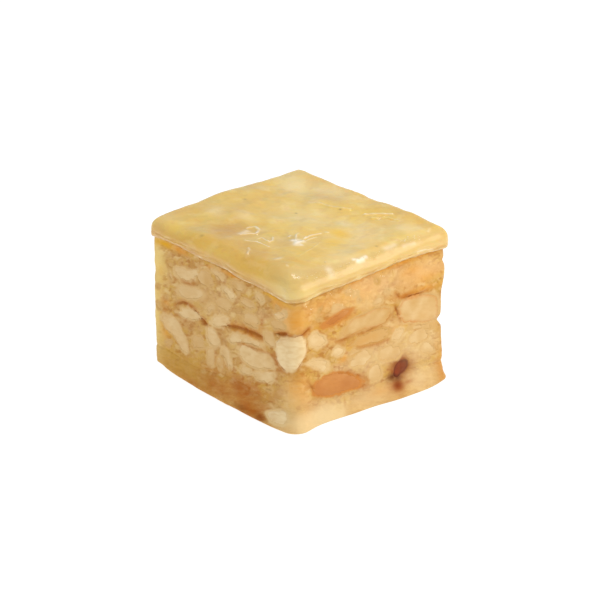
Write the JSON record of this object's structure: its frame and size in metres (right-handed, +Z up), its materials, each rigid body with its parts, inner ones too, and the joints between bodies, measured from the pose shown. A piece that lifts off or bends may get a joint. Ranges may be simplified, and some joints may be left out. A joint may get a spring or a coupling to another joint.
{
  "type": "baklava piece",
  "caption": "Knife-cut block of nut baklava: soaked pastry base, chopped-nut filling with whole kernels cut through, and a glossy pastry lid.",
  "frame": {"origin": "middle of the flat underside that the piece rests on", "axes": "+Z up through the layers; +X along the longer side of the block"},
  "size_m": [0.043, 0.0389, 0.0307],
  "materials": {
    "soaked_pastry": "syrup-soaked pastry sheets pressed into one dense, faintly translucent layer",
    "nut_paste": "chopped nuts bound with honey-coloured syrup paste, rough and cut by a knife",
    "glazed_pastry": "thin pastry sheets under clear syrup, glossy and translucent",
    "blanched_nut": "pale blanched nut flesh, smooth satin",
    "toasted_nut": "golden-brown toasted nut flesh, satin",
    "caramelised_nut": "dark caramelised kernel, moist"
  },
  "bodies": {
    "root": {"pastry_base": "soaked_pastry", "nut_filling": "nut_paste", "pastry_lid": "glazed_pastry", "front_split_nut": "blanched_nut", "front_cut_nut": "blanched_nut", "front_base_nut": "blanched_nut", "front_upper_nut": "blanched_nut", "right_long_almond": "blanched_nut", "right_edge_almond": "blanched_nut", "back_cut_almond": "blanched_nut", "back_split_nut": "blanched_nut", "left_cut_almond": "blanched_nut", "left_split_nut": "blanched_nut", "corner_nut": "blanched_nut", "right_toasted_almond": "toasted_nut", "right_skin_slice": "toasted_nut", "back_toasted_almond": "toasted_nut", "left_toasted_almond": "toasted_nut", "right_dark_kernel": "caramelised_nut"}
  },
  "joints": []
}
